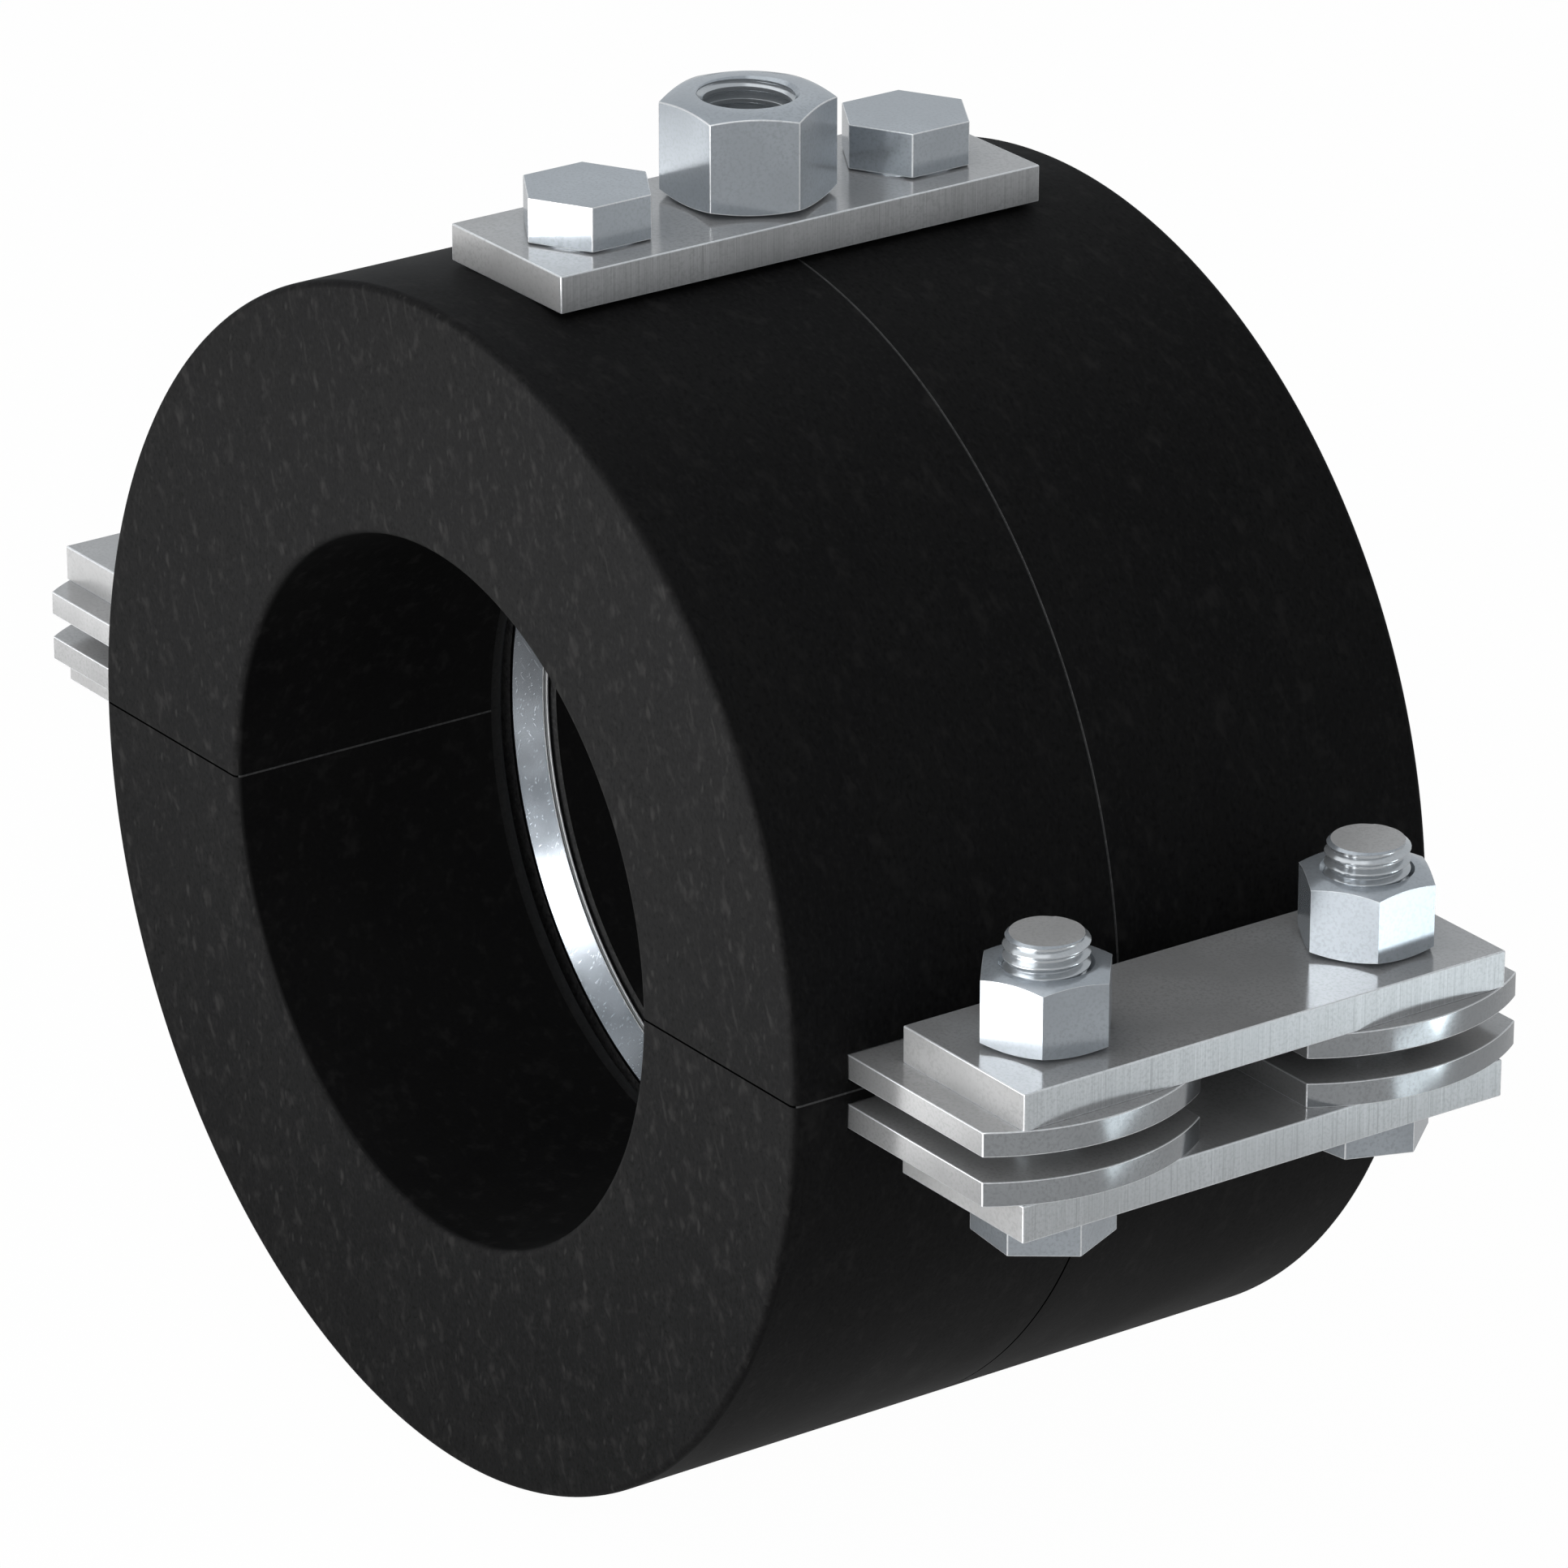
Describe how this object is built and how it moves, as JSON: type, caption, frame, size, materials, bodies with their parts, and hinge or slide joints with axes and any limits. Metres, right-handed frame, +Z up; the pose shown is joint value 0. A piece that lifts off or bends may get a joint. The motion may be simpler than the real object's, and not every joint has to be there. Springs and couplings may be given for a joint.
{
  "type": "insulated pipe clamp",
  "caption": "Split pipe clamp with a thick black insulation sleeve, embedded steel clamp bands, bolted side bars and a threaded hanger nut on top.",
  "frame": {"origin": "middle of the pipe bore, on its axis and halfway along the sleeve", "axes": "+Y along the pipe, +Z up towards the hanger nut, +X across the clamp towards the right-hand side bars; the clamp splits on the plane Z = 0"},
  "size_m": [0.2732, 0.12, 0.2166],
  "materials": {
    "black_foam": "matt, finely grained closed-cell foam",
    "zinc_steel": "zinc-plated, satin, bright broken edges",
    "fastener_zinc": "zinc-plated, smooth",
    "ring_steel": "bright turned steel with fine cross scratches"
  },
  "bodies": {
    "upper_half": {"insulation_front_upper": "black_foam", "insulation_rear_upper": "black_foam", "band_front_upper": "zinc_steel", "band_rear_upper": "zinc_steel", "band_boss_front": "zinc_steel", "band_boss_rear": "zinc_steel", "top_bolt_front": "fastener_zinc", "top_bolt_rear": "fastener_zinc", "top_plate": "zinc_steel", "hanger_nut": "fastener_zinc", "side_bar_right_upper": "zinc_steel", "side_bar_left_upper": "zinc_steel"},
    "lower_half": {"insulation_front_lower": "black_foam", "insulation_rear_lower": "black_foam", "band_front_lower": "zinc_steel", "band_rear_lower": "zinc_steel", "bore_ring": "ring_steel", "side_bar_right_lower": "zinc_steel", "side_bar_left_lower": "zinc_steel", "side_bolt_right_front": "fastener_zinc", "side_bolt_right_rear": "fastener_zinc", "side_bolt_left_front": "fastener_zinc", "side_bolt_left_rear": "fastener_zinc"},
    "side_nut_right_front": {"side_nut_right_front": "fastener_zinc"},
    "side_nut_right_rear": {"side_nut_right_rear": "fastener_zinc"},
    "side_nut_left_front": {"side_nut_left_front": "fastener_zinc"},
    "side_nut_left_rear": {"side_nut_left_rear": "fastener_zinc"}
  },
  "joints": [
    {"name": "clamp_opening", "type": "slide", "parent": "upper_half", "child": "lower_half", "axis": [0, 0, -1], "range_m": [0, 0.014]},
    {"name": "side_nut_right_front_turn", "type": "hinge", "parent": "upper_half", "child": "side_nut_right_front", "pos_m": [0.11875, -0.03, 0.018], "axis": [0, 0, 1], "range_deg": [0, 2890]},
    {"name": "side_nut_right_rear_turn", "type": "hinge", "parent": "upper_half", "child": "side_nut_right_rear", "pos_m": [0.11875, 0.03, 0.018], "axis": [0, 0, 1], "range_deg": [0, 2890]},
    {"name": "side_nut_left_front_turn", "type": "hinge", "parent": "upper_half", "child": "side_nut_left_front", "pos_m": [-0.11875, -0.03, 0.018], "axis": [0, 0, 1], "range_deg": [0, 2890]},
    {"name": "side_nut_left_rear_turn", "type": "hinge", "parent": "upper_half", "child": "side_nut_left_rear", "pos_m": [-0.11875, 0.03, 0.018], "axis": [0, 0, 1], "range_deg": [0, 2890]}
  ],
  "couplings": [
    {"joint": "side_nut_right_front_turn", "follows": "clamp_opening", "rad_per_m": 3590.4},
    {"joint": "side_nut_right_rear_turn", "follows": "clamp_opening", "rad_per_m": 3590.4},
    {"joint": "side_nut_left_front_turn", "follows": "clamp_opening", "rad_per_m": 3590.4},
    {"joint": "side_nut_left_rear_turn", "follows": "clamp_opening", "rad_per_m": 3590.4}
  ]
}
